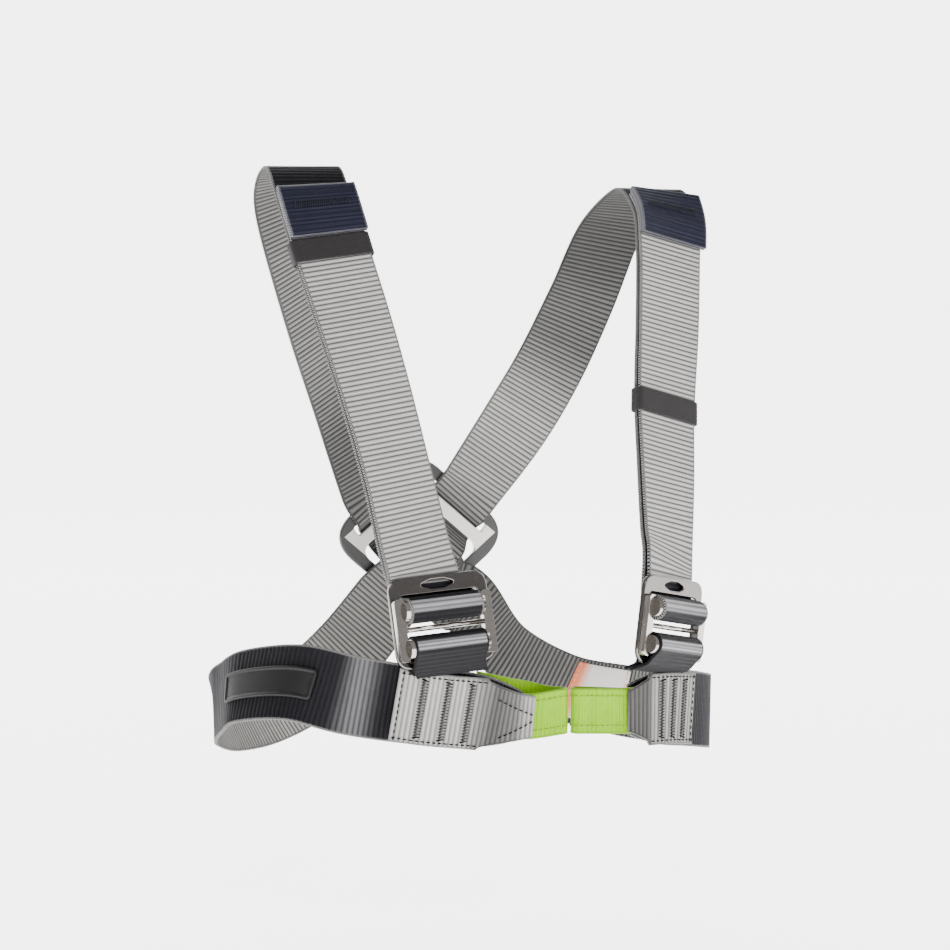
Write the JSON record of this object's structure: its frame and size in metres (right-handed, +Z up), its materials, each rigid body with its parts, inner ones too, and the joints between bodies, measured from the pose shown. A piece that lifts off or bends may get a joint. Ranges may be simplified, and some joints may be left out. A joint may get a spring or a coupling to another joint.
{
  "type": "climbing chest harness",
  "caption": "Chest harness of wide webbing that crosses at a steel back plate, with double-frame buckles and two lime tie-in loops, shown as worn.",
  "frame": {"origin": "between the shoulders, level with the crest of the wearer's right shoulder strap, where the harness hangs on the wearer", "axes": "+Z up, the wearer faces -Y, +X to the wearer's left"},
  "size_m": [0.3216, 0.2315, 0.3528],
  "materials": {
    "webbing": "ribbed dark polyester webbing",
    "light_webbing": "ribbed light grey polyester webbing",
    "navy_cloth": "smooth navy webbing, satin",
    "elastic": "dark twill elastic",
    "lime_webbing": "smooth lime webbing",
    "plate_steel": "dark smooth coating",
    "buckle_steel": "polished gunmetal",
    "label_rubber": "matte moulded rubber",
    "label_cloth": "smooth woven label"
  },
  "bodies": {
    "root": {"back_plate": "plate_steel", "shoulder_strap_right": "webbing", "shoulder_strap_left": "webbing", "chest_band_right": "webbing", "chest_band_left": "webbing", "strap_tail_right": "light_webbing", "strap_tail_left": "light_webbing", "stopper_tab_right": "navy_cloth", "stopper_tab_left": "navy_cloth", "elastic_keeper_right": "elastic", "elastic_keeper_left": "elastic", "buckle_rear_frame_right": "buckle_steel", "buckle_rear_frame_left": "buckle_steel", "buckle_ladder_right": "buckle_steel", "buckle_ladder_left": "buckle_steel", "buckle_strap_right": "webbing", "buckle_strap_left": "webbing", "front_patch_right": "light_webbing", "front_patch_left": "light_webbing", "tie_in_loop_right": "lime_webbing", "tie_in_loop_left": "lime_webbing", "bare_label": "label_rubber", "care_label": "label_cloth"}
  },
  "joints": []
}
